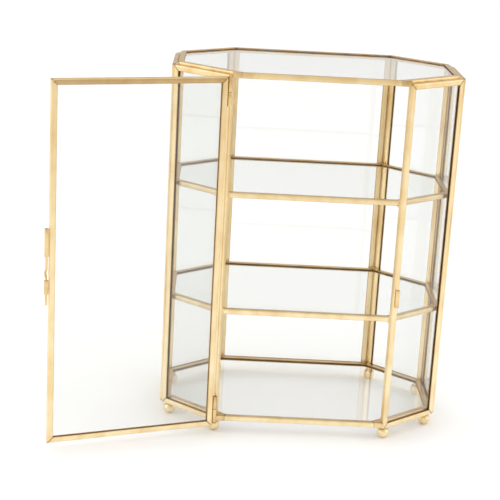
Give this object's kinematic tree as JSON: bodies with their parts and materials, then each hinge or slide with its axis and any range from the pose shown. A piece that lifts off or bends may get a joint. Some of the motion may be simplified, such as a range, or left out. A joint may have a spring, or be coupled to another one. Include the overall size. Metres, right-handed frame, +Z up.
{
  "type": "jewelry box",
  "caption": "Free-standing glass display box edged in folded brass channel, with inner shelves, ball feet and a side-hinged front door held shut by a sliding wire bolt.",
  "frame": {"origin": "on the table under the feet, at the middle of the bounding box of the object with its door standing open", "axes": "+Z up, door side towards -Y, +X to the right seen from the door side"},
  "size_m": [0.28, 0.1754, 0.2604],
  "materials": {
    "brass": "polished",
    "glass": "clear"
  },
  "bodies": {
    "cabinet": {"back_wall_channel": "brass", "back_wall_pane": "glass", "back_left_wall_channel": "brass", "back_left_wall_pane": "glass", "left_end_wall_channel": "brass", "left_end_wall_pane": "glass", "front_left_wall_channel": "brass", "front_left_wall_pane": "glass", "front_right_wall_channel": "brass", "front_right_wall_pane": "glass", "right_end_wall_channel": "brass", "right_end_wall_pane": "glass", "back_right_wall_channel": "brass", "back_right_wall_pane": "glass", "base_channel": "brass", "base_pane": "glass", "lower_shelf_channel": "brass", "lower_shelf_pane": "glass", "upper_shelf_channel": "brass", "upper_shelf_pane": "glass", "top_channel": "brass", "top_pane": "glass", "front_left_foot": "brass", "front_right_foot": "brass", "right_front_foot": "brass", "right_back_foot": "brass", "back_right_foot": "brass", "back_left_foot": "brass", "left_back_foot": "brass", "left_front_foot": "brass", "upper_hinge_wall_knuckle": "brass", "lower_hinge_wall_knuckle": "brass", "upper_hinge_pin": "brass", "lower_hinge_pin": "brass", "bolt_catch_tube": "brass"},
    "door": {"door_bottom_rail": "brass", "door_latch_stile": "brass", "door_top_rail": "brass", "door_hinge_stile": "brass", "door_pane": "glass", "upper_hinge_door_knuckle": "brass", "lower_hinge_door_knuckle": "brass", "bolt_lower_guide": "brass", "bolt_upper_guide": "brass"},
    "bolt": {"bolt_wire": "brass"}
  },
  "joints": [
    {"name": "door_hinge", "type": "hinge", "parent": "cabinet", "child": "door", "pos_m": [-0.0231, -0.04102, 0], "axis": [0, 0, 1], "range_deg": [-29, 159]},
    {"name": "bolt_slide", "type": "slide", "parent": "door", "child": "bolt", "axis": [0, 0, 1], "range_m": [0, 0.0079]}
  ]
}
